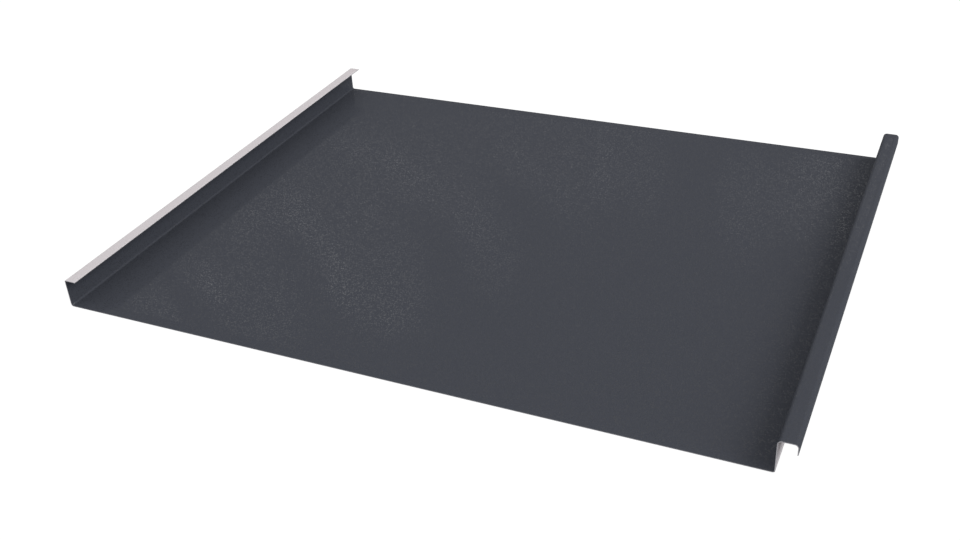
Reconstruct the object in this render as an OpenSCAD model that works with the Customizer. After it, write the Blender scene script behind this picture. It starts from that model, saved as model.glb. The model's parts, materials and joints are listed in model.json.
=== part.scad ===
// Standing seam roof panel: one strip of coated steel, folded along both long edges.
// The left edge is the undercloak, a leg with a flange turned in over the pan.
// The right edge is the overcloak, a taller leg with a flange turned out and down,
// which hooks over the undercloak of the next panel before the seam is folded shut.
// X runs across the pan, Y up the slope and Z away from the roof deck.
// The origin is the middle of the pan's underside.

/* [Sheet] */
// Length of the panel up the slope
panel_length = 450; // [200:10:1200]
// Width of the pan, over the outer faces of its two legs
pan_width = 550; // [200:5:750]
// Thickness of the coated steel
sheet_thickness = 0.6; // [0.5:0.05:0.8]

/* [Undercloak] */
// Height of the undercloak leg, from the pan's underside to the top of its flange
undercloak_height = 23.8; // [18:0.1:40]
// Width of the undercloak flange, from the leg's outer face to the cut edge
undercloak_flange = 10.3; // [6:0.1:14]

/* [Overcloak] */
// Gap left between the next panel's undercloak flange and the overcloak flange above it
seam_rise_gap = 1.1; // [0.3:0.1:2.5]
// Gap left between the cut edge of the next panel's undercloak flange and the lip
seam_tip_gap = 1.6; // [0.5:0.1:3]
// Height of the turned-down lip, from its cut edge to the top of the overcloak
lip_height = 8.2; // [5:0.1:12]

/* [Folds] */
// Inside radius of the fold between the pan and the undercloak leg
pan_left_radius = 1.7; // [0.4:0.1:3]
// Inside radius of the fold between the pan and the overcloak leg
pan_right_radius = 1.2; // [0.4:0.1:3]
// Inside radius of the sharp fold at the top of the undercloak
undercloak_radius = 0.3; // [0.2:0.1:1.5]
// Inside radius of the two folds along the top of the overcloak
overcloak_radius = 2.3; // [0.5:0.1:3]

/* [Hidden] */
$fn = 64;

// The overcloak clears the undercloak of the next panel by the two seam gaps.
overcloak_height = undercloak_height + seam_rise_gap + sheet_thickness;
overcloak_flange = undercloak_flange + seam_tip_gap + sheet_thickness;

// Outside radius of a fold in the sheet
function outside(inside_radius) = inside_radius + sheet_thickness;

// The strip from cut edge to cut edge, seen from its lower end, starting at the undercloak.
// Each entry is a flat run, the way the strip turns after it and the inside radius of that
// turn. The walk keeps the back of the sheet on its right, and every turn is square.
LEFT = 1;
RIGHT = -1;
CUT_EDGE = 0;
strip = [
    [undercloak_flange - outside(undercloak_radius), LEFT, undercloak_radius],
    [undercloak_height - outside(undercloak_radius) - outside(pan_left_radius),
        LEFT, pan_left_radius],
    [pan_width - outside(pan_left_radius) - outside(pan_right_radius),
        LEFT, pan_right_radius],
    [overcloak_height - outside(pan_right_radius) - outside(overcloak_radius),
        RIGHT, overcloak_radius],
    [overcloak_flange - overcloak_radius - outside(overcloak_radius),
        RIGHT, overcloak_radius],
    [lip_height - outside(overcloak_radius), CUT_EDGE, 0],
];

// Quarter ring of sheet round a fold's centre, from the run before it on to the next
module fold_section(inside_radius) {
    intersection() {
        difference() {
            circle(r = outside(inside_radius));
            circle(r = inside_radius);
        }
        square(outside(inside_radius));
    }
}

// Flat run of sheet that starts at the local origin and heads along local X
module flat_section(run) {
    square([run, sheet_thickness]);
}

// The rest of the strip from one entry on, heading along local X
module folded_section(entry = 0) {
    run = strip[entry][0];
    turn = strip[entry][1];
    radius = strip[entry][2];
    // The turn's centre, measured from the back of the sheet
    centre = turn == LEFT ? outside(radius) : -radius;
    flat_section(run);
    if (turn != CUT_EDGE)
        translate([run, centre]) {
            rotate(turn == LEFT ? -90 : 0) fold_section(radius);
            rotate(90 * turn) translate([0, -centre]) folded_section(entry + 1);
        }
}

// The whole folded strip, with the pan's underside on the X axis and the pan centred
module panel_section() {
    translate([undercloak_flange - pan_width / 2, undercloak_height])
        rotate(180) folded_section();
}

module panel_sheet() {
    color([0.24, 0.25, 0.28])
        rotate([90, 0, 0])
            linear_extrude(height = panel_length, center = true)
                panel_section();
}

panel_sheet();
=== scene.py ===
"""Standing seam roof panel: the looks of the folded sheet and the studio that it lies in.

The sheet is one strip of coated steel, walked from cut edge to cut edge round its five folds.
Everything is in metres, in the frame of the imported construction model: X runs across the pan,
Y up the slope and Z away from the roof deck.
"""

import json
import math

import bmesh
import bpy
from mathutils import Matrix, Vector


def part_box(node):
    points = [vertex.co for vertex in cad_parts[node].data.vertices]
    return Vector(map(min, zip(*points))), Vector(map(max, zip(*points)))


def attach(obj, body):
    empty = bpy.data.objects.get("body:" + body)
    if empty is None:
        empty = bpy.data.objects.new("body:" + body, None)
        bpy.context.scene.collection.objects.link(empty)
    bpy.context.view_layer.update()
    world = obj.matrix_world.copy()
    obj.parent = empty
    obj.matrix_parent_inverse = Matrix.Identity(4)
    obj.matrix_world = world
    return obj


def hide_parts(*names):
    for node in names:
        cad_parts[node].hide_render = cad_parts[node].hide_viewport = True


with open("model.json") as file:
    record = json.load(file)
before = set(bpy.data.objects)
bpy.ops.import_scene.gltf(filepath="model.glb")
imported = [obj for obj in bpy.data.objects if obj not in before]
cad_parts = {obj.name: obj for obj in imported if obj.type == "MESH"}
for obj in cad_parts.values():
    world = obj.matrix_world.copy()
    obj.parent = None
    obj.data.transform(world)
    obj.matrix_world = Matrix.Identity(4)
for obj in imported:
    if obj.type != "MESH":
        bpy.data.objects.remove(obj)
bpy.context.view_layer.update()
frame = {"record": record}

bl_info = {
    "name": "Standing Seam Roof Panel",
    "version": (1, 0, 0),
    "blender": (4, 5, 0),
    "location": "3D View > Sidebar > Roof Panel",
    "description": "Makes a folded roof panel of coated steel and a plain studio round it",
    "category": "Add Mesh",
}

NODE = "panel_sheet"
BODY = "root"
MILLIMETRE = 0.001
MOUNTS = {mount["name"]: Vector(mount["pos_m"]) for mount in frame["record"]["mounts"]}
LOW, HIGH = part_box(NODE)

WEATHER_COAT, BACK_COAT, CUT_EDGE = range(3)
LEFT, RIGHT, NO_TURN = 1, -1, 0

# How finely the sheet is divided: steps across each flat run and fold, rows up the slope, and
# steps across a rounded edge with the profile that is a true round. Edges are shaded as sharp
# from the given angle on
UNDERCLOAK_FLANGE_STEPS = 4
LEG_STEPS = 6
PAN_STEPS = 56
OVERCLOAK_FLANGE_STEPS = 3
LIP_STEPS = 3
FOLD_STEPS = 12
ROWS = 45
EDGE_STEPS = 2
ROUND_PROFILE = 0.5
SHARP_ANGLE = math.radians(35)

# The pan's two long waves, each as the waves across the pan, the waves up the slope and the share
# of a wave that it starts with, and the share of the pan over which they fade out beside a leg or
# a cut end
SLOW_WAVE = (1.7, 0.6, 0.12)
QUICK_WAVE = (-2.1, 1.4, 0.35)
WAVE_FADE = 0.1

# The weather coat: how far the shade of its facets varies, the share of them that are glossy
# flakes, how gradual the step from dull to glossy is, and how dark flakes are under their gloss
COAT_SHADES = 0.06
FLAKE_SHARE = 0.12
FLAKE_BLUR = 0.3
FLAKE_SHADE = 0.7

# How far dull facets, flakes and the gloss over both tip, how glossy and how rough dull facets
# and flakes are, the roughness and refraction of the gloss, and the faint sheen under it
FACET_TILT = 0.03
FLAKE_TILT = 0.3
GLOSS_TILT = 0.01
DULL_GLOSS = 0.0035
FLAKE_GLOSS = 0.11
COAT_ROUGHNESS = (0.68, 0.5)
GLOSS_ROUGHNESS = 0.08
GLOSS_IOR = 3.0
MATT_SHEEN = 0.01

# The back coat: size, detail and relief of its speckles, width and detail of its roller streaks,
# how many times as long as wide these are, how much either changes the shade, and its roughness
# and sheen
SPECKLE_SIZE = 0.5 * MILLIMETRE
SPECKLE_DETAIL = 2.0
SPECKLE_RELIEF = 0.02 * MILLIMETRE
STREAK_WIDTH = 5.0 * MILLIMETRE
STREAK_DETAIL = 3.0
ROLLER_STRETCH = 25.0
BACK_SPECKLE = 0.05
BACK_STREAKS = 0.012
BACK_ROUGHNESS = (0.62, 0.78)
BACK_SHEEN = 0.04

# The cut edge: width, detail and relief of the shears' lines, how much they change its shade and
# roughness, how metallic it is, how much darker it is towards the bottom, along the pan, and the
# heights between which it comes back to its full colour
SHEAR_LINE = 0.25 * MILLIMETRE
SHEAR_DETAIL = 3.0
SHEAR_RELIEF = 0.03 * MILLIMETRE
SHEAR_SHADES = 0.3
CUT_ROUGHNESS = (0.35, 0.6)
CUT_METAL = 0.6
LOW_CUT_SHADE = 0.62
LOW_CUT_HEIGHTS = (0.7 * MILLIMETRE, 2.1 * MILLIMETRE)

# The range that most of a noise texture's values lie in, and the places of the sockets that mix
# colours and numbers, which share their names
NOISE_RANGE = (0.3, 0.7)
COLOUR_A, COLOUR_B, MIXED_COLOUR = 6, 7, 2
NUMBER_A, NUMBER_B, MIXED_NUMBER = 2, 3, 0

# The camera, as the photograph was taken: degrees, metres, and millimetres for lens and sensor.
# Every azimuth in the studio is clockwise from the panel's far end, as seen from above
VIEW_AZIMUTH = 154.004
VIEW_ELEVATION = 31.728
VIEW_ROLL = -3.593
CAMERA_PLACE = (0.35323, -0.77759, 0.4869)
LENS = 43.494
SENSOR_WIDTH = 36.0

# The studio's floor: how far it reaches and how far it lies under the panel, in metres, and how
# much of its white it gives off by itself
FLOOR_REACH = 6.0
FLOOR_GAP = 0.0001
FLOOR_GLOW = 0.92

# The studio's softboxes: name, azimuth and elevation in degrees, size in metres, colour, and the
# setting that holds their brightness. Then their distance, and the watts for each square metre
# of a lamp that is as bright as white
DAYLIGHT = (1.0, 1.0, 1.0)
COOL_DAYLIGHT = (0.93, 1.0, 1.075)
SOFTBOXES = (
    ("Key softbox", 75.0, 41.0, (2.2, 2.8), DAYLIGHT, "key_level"),
    ("Side softbox", 100.0, 15.0, (2.2, 1.8), COOL_DAYLIGHT, "side_level"),
    ("Front softbox", 180.0, 15.0, (2.2, 1.8), COOL_DAYLIGHT, "front_level"),
)
SOFTBOX_DISTANCE = 5.2
WHITE_WATTS = 4.0

# Oval lit panels behind the roof panel, whose sheen shows on the pan: azimuth and elevation
# of the middle, width, height and lean to the right, in degrees, and brightness
SHEEN_PANELS = (
    (-31.0, 25.8, 30.0, 5.0, 5.0, 0.6),
    (-45.8, 31.2, 2.4, 4.0, 10.0, 1.15),
    (-39.8, 31.4, 4.4, 6.4, 22.0, 0.82),
    (-42.7, 30.2, 1.6, 3.8, 30.0, 1.5),
    (-38.0, 27.8, 4.0, 2.0, 0.0, 0.8),
    (-32.4, 31.2, 5.0, 7.2, 12.0, 0.82),
    (-35.4, 29.9, 1.6, 6.8, 18.0, 1.2),
    (-31.8, 33.6, 3.0, 1.2, 0.0, 0.6),
    (-25.6, 30.2, 3.0, 5.4, 16.0, 0.7),
    (-28.2, 28.0, 1.7, 7.0, 48.0, 1.1),
    (-32.4, 25.2, 1.2, 4.0, 60.0, 1.0),
    (-20.3, 27.6, 2.4, 3.6, 15.0, 0.7),
    (-22.6, 27.2, 1.3, 5.4, 42.0, 0.9),
    (-16.4, 27.0, 2.6, 3.6, 0.0, 0.7),
    (-18.5, 27.0, 1.3, 3.4, 0.0, 1.5),
    (-10.3, 28.2, 3.2, 5.4, 0.0, 0.75),
    (-6.9, 27.2, 2.8, 5.6, -12.0, 1.42),
    (-3.7, 27.4, 1.9, 8.0, -11.0, 1.25),
)
SHEEN_DISTANCE = 20.0


class PanelSizes(bpy.types.PropertyGroup):
    """Sizes of the folded sheet. The outer ones come from the construction model."""

    length: bpy.props.FloatProperty(
        name="Length",
        description="Length of the panel up the slope",
        default=HIGH.y - LOW.y,
        unit="LENGTH",
        subtype="DISTANCE",
    )
    pan_width: bpy.props.FloatProperty(
        name="Pan width",
        description="Width of the pan, over the outer faces of its two legs",
        default=-2 * MOUNTS["undercloak_leg_face"].x,
        unit="LENGTH",
        subtype="DISTANCE",
    )
    thickness: bpy.props.FloatProperty(
        name="Sheet thickness",
        description="Thickness of the coated steel",
        default=0.6 * MILLIMETRE,
        unit="LENGTH",
        subtype="DISTANCE",
    )
    undercloak_height: bpy.props.FloatProperty(
        name="Undercloak height",
        description="Height of the left leg, from the pan's underside to the top of its flange",
        default=MOUNTS["undercloak_flange_face"].z,
        unit="LENGTH",
        subtype="DISTANCE",
    )
    undercloak_flange: bpy.props.FloatProperty(
        name="Undercloak flange",
        description="Width of the left flange, from the leg's outer face to the cut edge",
        default=10.3 * MILLIMETRE,
        unit="LENGTH",
        subtype="DISTANCE",
    )
    overcloak_height: bpy.props.FloatProperty(
        name="Overcloak height",
        description="Height of the right leg, from the pan's underside to the top of its flange",
        default=HIGH.z - LOW.z,
        unit="LENGTH",
        subtype="DISTANCE",
    )
    overcloak_flange: bpy.props.FloatProperty(
        name="Overcloak flange",
        description="Width of the right flange, from the leg's back to the lip's outer face",
        default=HIGH.x + MOUNTS["undercloak_leg_face"].x,
        unit="LENGTH",
        subtype="DISTANCE",
    )
    lip_height: bpy.props.FloatProperty(
        name="Lip height",
        description="Height of the turned-down lip, from its cut edge to the overcloak's top",
        default=8.2 * MILLIMETRE,
        unit="LENGTH",
        subtype="DISTANCE",
    )
    pan_left_radius: bpy.props.FloatProperty(
        name="Left pan fold",
        description="Inside radius of the fold between the pan and the undercloak leg",
        default=1.7 * MILLIMETRE,
        unit="LENGTH",
        subtype="DISTANCE",
    )
    pan_right_radius: bpy.props.FloatProperty(
        name="Right pan fold",
        description="Inside radius of the fold between the pan and the overcloak leg",
        default=1.2 * MILLIMETRE,
        unit="LENGTH",
        subtype="DISTANCE",
    )
    undercloak_radius: bpy.props.FloatProperty(
        name="Undercloak fold",
        description="Inside radius of the sharp fold at the top of the undercloak",
        default=0.3 * MILLIMETRE,
        unit="LENGTH",
        subtype="DISTANCE",
    )
    overcloak_radius: bpy.props.FloatProperty(
        name="Overcloak folds",
        description="Inside radius of the two folds along the top of the overcloak",
        default=2.3 * MILLIMETRE,
        unit="LENGTH",
        subtype="DISTANCE",
    )
    pan_wave: bpy.props.FloatProperty(
        name="Pan waviness",
        description="Height of the long, shallow waves that thin flat sheet has",
        default=0.22 * MILLIMETRE,
        unit="LENGTH",
        subtype="DISTANCE",
    )
    edge_round: bpy.props.FloatProperty(
        name="Sheared edge",
        description="How far the shears round the coat over along every cut edge",
        default=0.07 * MILLIMETRE,
        unit="LENGTH",
        subtype="DISTANCE",
    )


class PanelFinish(bpy.types.PropertyGroup):
    """Colours and grain of the two coats and the bare cut edge."""

    weather_colour: bpy.props.FloatVectorProperty(
        name="Weather coat",
        description="Colour of the matt anthracite coat on the weather side",
        default=(0.0556, 0.0589, 0.0706),
        subtype="COLOR",
        min=0.0,
        max=1.0,
    )
    back_colour: bpy.props.FloatVectorProperty(
        name="Back coat",
        description="Colour of the pale grey primer on the back of the sheet",
        default=(0.613, 0.57, 0.579),
        subtype="COLOR",
        min=0.0,
        max=1.0,
    )
    cut_colour: bpy.props.FloatVectorProperty(
        name="Cut edge",
        description="Colour of the bare zinc and steel where the sheet is cut",
        default=(0.31, 0.3, 0.315),
        subtype="COLOR",
        min=0.0,
        max=1.0,
    )
    grain_size: bpy.props.FloatProperty(
        name="Grain size",
        description="Width of one facet of the weather coat",
        default=0.65 * MILLIMETRE,
        unit="LENGTH",
        subtype="DISTANCE",
    )


class StudioLight(bpy.types.PropertyGroup):
    """Levels of the studio's light, as brightness beside plain white, which is 1."""

    fill_level: bpy.props.FloatProperty(
        name="Fill level",
        description="Level of the soft light from all round",
        default=0.625,
    )
    key_level: bpy.props.FloatProperty(
        name="Key softbox",
        description="Brightness of the high softbox on the right",
        default=5.0,
    )
    side_level: bpy.props.FloatProperty(
        name="Side softbox",
        description="Brightness of the low softbox on the right",
        default=2.9,
    )
    front_level: bpy.props.FloatProperty(
        name="Front softbox",
        description="Brightness of the low softbox in front of the panel's lower end",
        default=4.9,
    )
    sheen_level: bpy.props.FloatProperty(
        name="Sheen level",
        description="Brightness of the oval panels behind, whose sheen shows on the pan",
        default=1.13,
    )
    floor_colour: bpy.props.FloatVectorProperty(
        name="Floor",
        description="Colour of the pale studio floor",
        default=(0.14, 0.14, 0.14),
        subtype="COLOR",
        min=0.0,
        max=1.0,
    )


def walk_section(sizes):
    """The strip's section from the undercloak's cut edge to the lip's, as a list of stations.

    Each station is a point of the back face and the direction from there to the weather face.
    """
    thick = sizes.thickness
    bottom_left = sizes.pan_left_radius
    bottom_right = sizes.pan_right_radius
    top_left = sizes.undercloak_radius
    top_right = sizes.overcloak_radius
    undercloak_flange = sizes.undercloak_flange - top_left - thick
    undercloak_leg = sizes.undercloak_height - top_left - bottom_left - 2 * thick
    pan = sizes.pan_width - bottom_left - bottom_right - 2 * thick
    overcloak_leg = sizes.overcloak_height - bottom_right - top_right - 2 * thick
    overcloak_flange = sizes.overcloak_flange - 2 * top_right - thick
    lip = sizes.lip_height - top_right - thick
    # Each flat run, the steps it is divided into, the way the strip turns next and the radius
    strip = (
        (undercloak_flange, UNDERCLOAK_FLANGE_STEPS, LEFT, top_left),
        (undercloak_leg, LEG_STEPS, LEFT, bottom_left),
        (pan, PAN_STEPS, LEFT, bottom_right),
        (overcloak_leg, LEG_STEPS, RIGHT, top_right),
        (overcloak_flange, OVERCLOAK_FLANGE_STEPS, RIGHT, top_right),
        (lip, LIP_STEPS, NO_TURN, 0.0),
    )
    for run, _, _, _ in strip:
        if run <= 0:
            raise ValueError("The folds leave no flat run between them: a size is too small.")
    heading = Vector((-1, 0, 0))
    place = Vector((sizes.undercloak_flange - sizes.pan_width / 2, 0, sizes.undercloak_height))
    stations = []
    for run, steps, turn, radius in strip:
        to_weather = Vector((-heading.z, 0, heading.x))
        for step in range(steps + 1):
            stations.append((place + heading * run * step / steps, to_weather))
        place = place + heading * run
        if turn == NO_TURN:
            break
        reach = radius + thick if turn == LEFT else -radius
        centre = place + to_weather * reach
        for step in range(1, FOLD_STEPS):
            angle = math.radians(90) * step / FOLD_STEPS
            normal = to_weather * math.cos(angle) - heading * math.sin(angle) * turn
            stations.append((centre - normal * reach, normal))
        old_heading = heading
        heading = to_weather * turn
        place = centre + old_heading * turn * reach
    return stations


def pan_lift(sizes, x, y):
    """Height of the pan's shallow waves at a point, which fade out beside the folds and ends."""
    across = x / sizes.pan_width + 0.5
    along = y / sizes.length + 0.5
    fade = min(1.0, min(across, 1 - across, along, 1 - along) / WAVE_FADE)
    # The fade starts and ends smoothly, and the two waves together lie between 0 and 1
    fade = fade * fade * (3 - 2 * fade)
    height = 0.5
    for waves_across, waves_along, start in (SLOW_WAVE, QUICK_WAVE):
        height += 0.25 * math.sin(2 * math.pi * (waves_across * across + waves_along * along + start))
    return sizes.pan_wave * fade * height


def fold_sheet(sizes):
    """The folded sheet as a mesh: its two coated faces and the cut edge all round."""
    stations = walk_section(sizes)
    mesh = bmesh.new()
    columns = []
    for place, to_weather in stations:
        on_pan = math.isclose(to_weather.z, 1.0) and place.z < sizes.thickness
        column = []
        for row in range(ROWS + 1):
            y = sizes.length * (row / ROWS - 0.5)
            lift = pan_lift(sizes, place.x, y) if on_pan else 0.0
            back = Vector((place.x, y, place.z + lift))
            weather = back + to_weather * sizes.thickness
            column.append((mesh.verts.new(back), mesh.verts.new(weather)))
        columns.append(column)
    add_face = mesh.faces.new
    for here, there in zip(columns, columns[1:]):
        for low, high in zip(range(ROWS), range(1, ROWS + 1)):
            back = add_face([here[low][0], here[high][0], there[high][0], there[low][0]])
            back.material_index = BACK_COAT
            weather = add_face([here[low][1], there[low][1], there[high][1], here[high][1]])
            weather.material_index = WEATHER_COAT
        for end in (0, ROWS):
            cut = add_face([here[end][0], here[end][1], there[end][1], there[end][0]])
            cut.material_index = CUT_EDGE
    for column in (columns[0], columns[-1]):
        for low, high in zip(column, column[1:]):
            cut = add_face([low[0], low[1], high[1], high[0]])
            cut.material_index = CUT_EDGE
    bmesh.ops.recalc_face_normals(mesh, faces=mesh.faces)
    round_sheared_edges(mesh, sizes.edge_round)
    return mesh


def round_sheared_edges(mesh, size):
    """Rounds every edge where a coated face meets the cut, as shears leave it."""
    borders = []
    for edge in mesh.edges:
        finishes = {face.material_index for face in edge.link_faces}
        if CUT_EDGE in finishes and len(finishes) == 2:
            borders.append(edge)
    bmesh.ops.bevel(
        mesh,
        geom=borders,
        offset=size,
        offset_type="OFFSET",
        segments=EDGE_STEPS,
        profile=ROUND_PROFILE,
        affect="EDGES",
        clamp_overlap=True,
        material=-1,
    )


def add_node(tree, kind, **values):
    """Adds a shader node and sets its named inputs and properties."""
    made = tree.nodes.new(kind)
    for name, value in values.items():
        label = name.replace("_", " ").title()
        if label in made.inputs:
            made.inputs[label].default_value = value
        else:
            setattr(made, name, value)
    return made


def new_material(name):
    """An empty node material with a Principled shader wired to its output."""
    material = bpy.data.materials.new(name)
    material.use_nodes = True
    tree = material.node_tree
    tree.nodes.clear()
    output = tree.nodes.new("ShaderNodeOutputMaterial")
    shader = tree.nodes.new("ShaderNodeBsdfPrincipled")
    tree.links.new(shader.outputs["BSDF"], output.inputs["Surface"])
    return material, tree, shader


def spread(tree, value, low, high, start=0.0, end=1.0):
    """Maps a value from between start and end to between low and high."""
    limits = {"from_min": start, "from_max": end, "to_min": low, "to_max": high}
    made = add_node(tree, "ShaderNodeMapRange", **limits)
    tree.links.new(value, made.inputs["Value"])
    return made.outputs["Result"]


def vary(tree, value, amount):
    """Maps a value that lies between 0 and 1 to a shade round 1."""
    return spread(tree, value, 1 - amount, 1 + amount)


def noise(tree, place, size, detail):
    """Cloudy noise, spread so that nearly all of it lies between 0 and 1."""
    made = add_node(tree, "ShaderNodeTexNoise", scale=1 / size, detail=detail)
    tree.links.new(place, made.inputs["Vector"])
    return spread(tree, made.outputs["Fac"], 0.0, 1.0, *NOISE_RANGE)


def shaded(tree, colour, shades):
    """A colour, made lighter or darker by each of the given shades."""
    value = None
    for shade in shades:
        mixed = add_node(tree, "ShaderNodeMix", data_type="RGBA", blend_type="MULTIPLY", factor=1.0)
        if value:
            tree.links.new(value, mixed.inputs[COLOUR_A])
        else:
            mixed.inputs[COLOUR_A].default_value = (*colour, 1.0)
        tree.links.new(shade, mixed.inputs[COLOUR_B])
        value = mixed.outputs[MIXED_COLOUR]
    return value


def relief(tree, height, depth):
    """A normal for shallow relief that follows the given height."""
    made = add_node(tree, "ShaderNodeBump", distance=depth)
    tree.links.new(height, made.inputs["Height"])
    return made.outputs["Normal"]


def tip_facets(tree, side):
    """The input for how far the facets tip to their own sides, and the normal that results."""
    shape = add_node(tree, "ShaderNodeNewGeometry")
    tilt = add_node(tree, "ShaderNodeVectorMath", operation="SCALE")
    tree.links.new(side, tilt.inputs[0])
    tipped = add_node(tree, "ShaderNodeVectorMath", operation="ADD")
    tree.links.new(shape.outputs["Normal"], tipped.inputs[0])
    tree.links.new(tilt.outputs["Vector"], tipped.inputs[1])
    facing = add_node(tree, "ShaderNodeVectorMath", operation="NORMALIZE")
    tree.links.new(tipped.outputs["Vector"], facing.inputs[0])
    return tilt.inputs["Scale"], facing.outputs["Vector"]


def weather_coat_material(finish):
    """Matt anthracite coat of fine facets, a few of them glossy flakes that glint."""
    material, tree, shader = new_material("Anthracite weather coat")
    link = tree.links.new
    place = add_node(tree, "ShaderNodeTexCoord").outputs["Object"]
    facets = add_node(tree, "ShaderNodeTexVoronoi", scale=1 / finish.grain_size)
    link(place, facets.inputs["Vector"])
    chance = add_node(tree, "ShaderNodeSeparateColor")
    link(facets.outputs["Color"], chance.inputs["Color"])
    dull = 1 - (1 + FLAKE_BLUR) * FLAKE_SHARE
    glossy = 1 - (1 - FLAKE_BLUR) * FLAKE_SHARE
    flake = spread(tree, chance.outputs["Blue"], 0.0, 1.0, dull, glossy)
    shades = [
        vary(tree, chance.outputs["Green"], COAT_SHADES),
        spread(tree, flake, 1.0, FLAKE_SHADE),
    ]
    link(shaded(tree, finish.weather_colour, shades), shader.inputs["Base Color"])
    link(spread(tree, flake, *COAT_ROUGHNESS), shader.inputs["Roughness"])
    link(spread(tree, flake, DULL_GLOSS, FLAKE_GLOSS), shader.inputs["Coat Weight"])

    # Each facet's random colour, less mid grey, is the side that it tips to
    side = add_node(tree, "ShaderNodeVectorMath", operation="SUBTRACT")
    side.inputs[1].default_value = (0.5, 0.5, 0.5)
    link(facets.outputs["Color"], side.inputs[0])
    amount, normal = tip_facets(tree, side.outputs["Vector"])
    link(spread(tree, flake, FACET_TILT, FLAKE_TILT), amount)
    link(normal, shader.inputs["Normal"])
    amount, normal = tip_facets(tree, side.outputs["Vector"])
    amount.default_value = GLOSS_TILT
    link(normal, shader.inputs["Coat Normal"])

    shader.inputs["Specular IOR Level"].default_value = MATT_SHEEN
    shader.inputs["Coat Roughness"].default_value = GLOSS_ROUGHNESS
    shader.inputs["Coat IOR"].default_value = GLOSS_IOR
    return material


def back_coat_material(finish):
    """Thin pale grey primer on the back: fine speckle, and faint streaks left by the roller."""
    material, tree, shader = new_material("Pale grey back coat")
    link = tree.links.new
    place = add_node(tree, "ShaderNodeTexCoord").outputs["Object"]
    speckle = noise(tree, place, SPECKLE_SIZE, SPECKLE_DETAIL)
    rolled = add_node(tree, "ShaderNodeMapping")
    rolled.inputs["Scale"].default_value = (1.0, 1 / ROLLER_STRETCH, 1.0)
    link(place, rolled.inputs["Vector"])
    streaks = noise(tree, rolled.outputs["Vector"], STREAK_WIDTH, STREAK_DETAIL)
    shades = [vary(tree, speckle, BACK_SPECKLE), vary(tree, streaks, BACK_STREAKS)]
    link(shaded(tree, finish.back_colour, shades), shader.inputs["Base Color"])
    link(spread(tree, streaks, *BACK_ROUGHNESS), shader.inputs["Roughness"])
    link(relief(tree, speckle, SPECKLE_RELIEF), shader.inputs["Normal"])
    shader.inputs["Specular IOR Level"].default_value = BACK_SHEEN
    return material


def cut_edge_material(finish):
    """Bare zinc and steel at the cut, with fine lines left by the shears.

    It is darker towards the bottom, along the pan.
    """
    material, tree, shader = new_material("Sheared zinc edge")
    link = tree.links.new
    place = add_node(tree, "ShaderNodeTexCoord").outputs["Object"]
    lines = noise(tree, place, SHEAR_LINE, SHEAR_DETAIL)
    height = add_node(tree, "ShaderNodeSeparateXYZ")
    link(place, height.inputs["Vector"])
    # Darker towards the bottom of the cut: darkest below the lower height, full colour above the
    # higher
    darker_low = spread(tree, height.outputs["Z"], LOW_CUT_SHADE, 1.0, *LOW_CUT_HEIGHTS)
    shades = [vary(tree, lines, SHEAR_SHADES), darker_low]
    link(shaded(tree, finish.cut_colour, shades), shader.inputs["Base Color"])
    link(spread(tree, lines, *CUT_ROUGHNESS), shader.inputs["Roughness"])
    link(relief(tree, lines, SHEAR_RELIEF), shader.inputs["Normal"])
    shader.inputs["Metallic"].default_value = CUT_METAL
    return material


class ROOFPANEL_OT_folded_sheet(bpy.types.Operator):
    """Fold the panel's sheet and give its faces their coats"""

    bl_idname = "roofpanel.folded_sheet"
    bl_label = "Folded Sheet"

    def execute(self, context):
        sizes = context.scene.roof_panel_sizes
        finish = context.scene.roof_panel_finish
        folded = fold_sheet(sizes)
        mesh = bpy.data.meshes.new("folded_sheet")
        folded.to_mesh(mesh)
        folded.free()
        mesh.polygons.foreach_set("use_smooth", [True] * len(mesh.polygons))
        mesh.set_sharp_from_angle(angle=SHARP_ANGLE)
        for make in (weather_coat_material, back_coat_material, cut_edge_material):
            mesh.materials.append(make(finish))
        sheet = bpy.data.objects.new("folded_sheet", mesh)
        context.scene.collection.objects.link(sheet)
        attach(sheet, BODY)
        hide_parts(NODE)
        return {"FINISHED"}


def white_to_the_eye(tree):
    """A value of 1 for the rays that see the studio's white straight on, mirrored or through."""
    rays = add_node(tree, "ShaderNodeLightPath")
    seen = rays.outputs["Is Camera Ray"]
    for name in ("Is Glossy Ray", "Is Transmission Ray"):
        either = add_node(tree, "ShaderNodeMath", operation="MAXIMUM")
        tree.links.new(seen, either.inputs[0])
        tree.links.new(rays.outputs[name], either.inputs[1])
        seen = either.outputs[0]
    return seen


def light_the_world(scene, light):
    """Soft white light from all round, seen as plain white."""
    world = bpy.data.worlds.new("Studio white")
    scene.world = world
    world.use_nodes = True
    tree = world.node_tree
    tree.nodes.clear()
    link = tree.links.new
    output = tree.nodes.new("ShaderNodeOutputWorld")
    sky = add_node(tree, "ShaderNodeBackground")
    sky.inputs["Color"].default_value = (1.0, 1.0, 1.0, 1.0)
    level = add_node(tree, "ShaderNodeMix", data_type="FLOAT")
    level.inputs[NUMBER_A].default_value = light.fill_level
    level.inputs[NUMBER_B].default_value = 1.0
    link(white_to_the_eye(tree), level.inputs["Factor"])
    link(level.outputs[MIXED_NUMBER], sky.inputs["Strength"])
    link(sky.outputs["Background"], output.inputs["Surface"])


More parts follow.
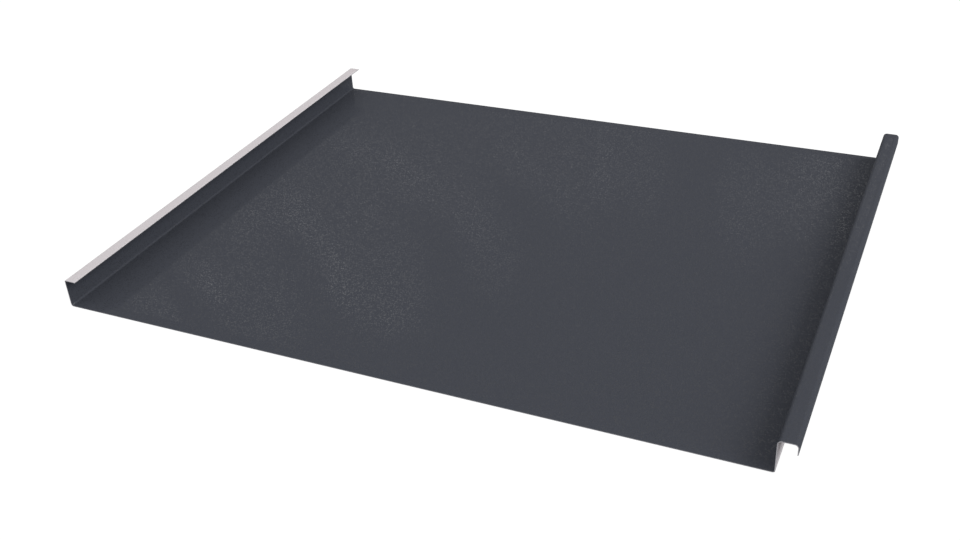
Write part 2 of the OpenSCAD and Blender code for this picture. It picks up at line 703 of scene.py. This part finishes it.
def lay_floor(scene, light):
    """A wide pale floor under the panel, which keeps the panel's shadow."""
    mesh = bpy.data.meshes.new("studio_floor")
    reach = FLOOR_REACH
    corners = [(-reach, -reach, 0), (reach, -reach, 0), (reach, reach, 0), (-reach, reach, 0)]
    mesh.from_pydata([(x, y, z - FLOOR_GAP) for x, y, z in corners], [], [(0, 1, 2, 3)])
    floor = bpy.data.objects.new("studio_floor", mesh)
    scene.collection.objects.link(floor)
    material, tree, shader = new_material("Pale studio floor")
    shader.inputs["Base Color"].default_value = (*light.floor_colour, 1.0)
    shader.inputs["Roughness"].default_value = 1.0
    shader.inputs["Specular IOR Level"].default_value = 0.0
    shader.inputs["Emission Color"].default_value = (1.0, 1.0, 1.0, 1.0)
    glow = add_node(tree, "ShaderNodeMath", operation="MULTIPLY")
    tree.links.new(white_to_the_eye(tree), glow.inputs[0])
    glow.inputs[1].default_value = FLOOR_GLOW
    tree.links.new(glow.outputs[0], shader.inputs["Emission Strength"])
    mesh.materials.append(material)


def look_from(azimuth, elevation, lean):
    """The direction to a place in the studio, and the turn of a camera or lamp that faces back.

    All angles are in degrees. A lean is clockwise as seen from the roof panel.
    """
    turn, rise = math.radians(azimuth), math.radians(elevation)
    away = Vector(
        (math.sin(turn) * math.cos(rise), math.cos(turn) * math.cos(rise), math.sin(rise))
    )
    upright = away.to_track_quat("Z", "Y").to_matrix()
    return away, (upright @ Matrix.Rotation(math.radians(lean), 3, "Z")).to_4x4()


def hang_light(scene, name, azimuth, elevation, distance, size, level, lean=0.0, oval=False):
    """A flat soft light that faces the panel. Its level is its brightness beside white."""
    width, height = size
    lamp = bpy.data.lights.new(name, "AREA")
    lamp.shape = "ELLIPSE" if oval else "RECTANGLE"
    lamp.size = width
    lamp.size_y = height
    area = width * height * (math.pi / 4 if oval else 1.0)
    lamp.energy = level * WHITE_WATTS * area
    holder = bpy.data.objects.new(name, lamp)
    scene.collection.objects.link(holder)
    away, facing = look_from(azimuth, elevation, lean)
    holder.matrix_world = Matrix.Translation(away * distance) @ facing
    holder.visible_camera = False
    return holder


def across(degrees, distance):
    """Width of something that spans the given angle at a distance."""
    return 2 * distance * math.tan(math.radians(degrees / 2))


def place_camera(scene):
    """The camera at the photograph's viewing angle."""
    data = bpy.data.cameras.new("Photo camera")
    data.sensor_width = SENSOR_WIDTH
    data.lens = LENS
    camera = bpy.data.objects.new("Photo camera", data)
    scene.collection.objects.link(camera)
    _, facing = look_from(VIEW_AZIMUTH, VIEW_ELEVATION, VIEW_ROLL)
    camera.matrix_world = Matrix.Translation(CAMERA_PLACE) @ facing
    scene.camera = camera


class ROOFPANEL_OT_studio(bpy.types.Operator):
    """Lay the pale floor, hang the soft lights and place the camera"""

    bl_idname = "roofpanel.studio"
    bl_label = "Studio"

    def execute(self, context):
        scene = context.scene
        light = scene.roof_panel_light
        light_the_world(scene, light)
        lay_floor(scene, light)
        for name, azimuth, rise, size, colour, setting in SOFTBOXES:
            level = getattr(light, setting)
            softbox = hang_light(scene, name, azimuth, rise, SOFTBOX_DISTANCE, size, level)
            softbox.data.color = colour
        for azimuth, rise, width, height, lean, brightness in SHEEN_PANELS:
            size = (across(width, SHEEN_DISTANCE), across(height, SHEEN_DISTANCE))
            level = brightness * light.sheen_level
            hang_light(
                scene, "Sheen panel", azimuth, rise, SHEEN_DISTANCE, size, level, lean, oval=True
            )
        place_camera(scene)
        scene.view_settings.view_transform = "Standard"
        return {"FINISHED"}


class VIEW3D_PT_roof_panel(bpy.types.Panel):
    """Buttons and settings for the roof panel"""

    bl_label = "Roof Panel"
    bl_idname = "VIEW3D_PT_roof_panel"
    bl_space_type = "VIEW_3D"
    bl_region_type = "UI"
    bl_category = "Roof Panel"

    def draw(self, context):
        scene = context.scene
        for heading, settings, operator in (
            ("Sizes", scene.roof_panel_sizes, ROOFPANEL_OT_folded_sheet),
            ("Finish", scene.roof_panel_finish, None),
            ("Light", scene.roof_panel_light, ROOFPANEL_OT_studio),
        ):
            box = self.layout.box()
            box.label(text=heading)
            for name in settings.__annotations__:
                box.prop(settings, name)
            if operator:
                box.operator(operator.bl_idname)


CLASSES = (
    PanelSizes,
    PanelFinish,
    StudioLight,
    ROOFPANEL_OT_folded_sheet,
    ROOFPANEL_OT_studio,
    VIEW3D_PT_roof_panel,
)


def register():
    for item in CLASSES:
        bpy.utils.register_class(item)
    scene_type = bpy.types.Scene
    scene_type.roof_panel_sizes = bpy.props.PointerProperty(type=PanelSizes)
    scene_type.roof_panel_finish = bpy.props.PointerProperty(type=PanelFinish)
    scene_type.roof_panel_light = bpy.props.PointerProperty(type=StudioLight)


def unregister():
    scene_type = bpy.types.Scene
    del scene_type.roof_panel_light
    del scene_type.roof_panel_finish
    del scene_type.roof_panel_sizes
    for item in reversed(CLASSES):
        bpy.utils.unregister_class(item)


def main():
    register()
    bpy.ops.roofpanel.folded_sheet()
    bpy.ops.roofpanel.studio()


if __name__ == "__main__":
    main()
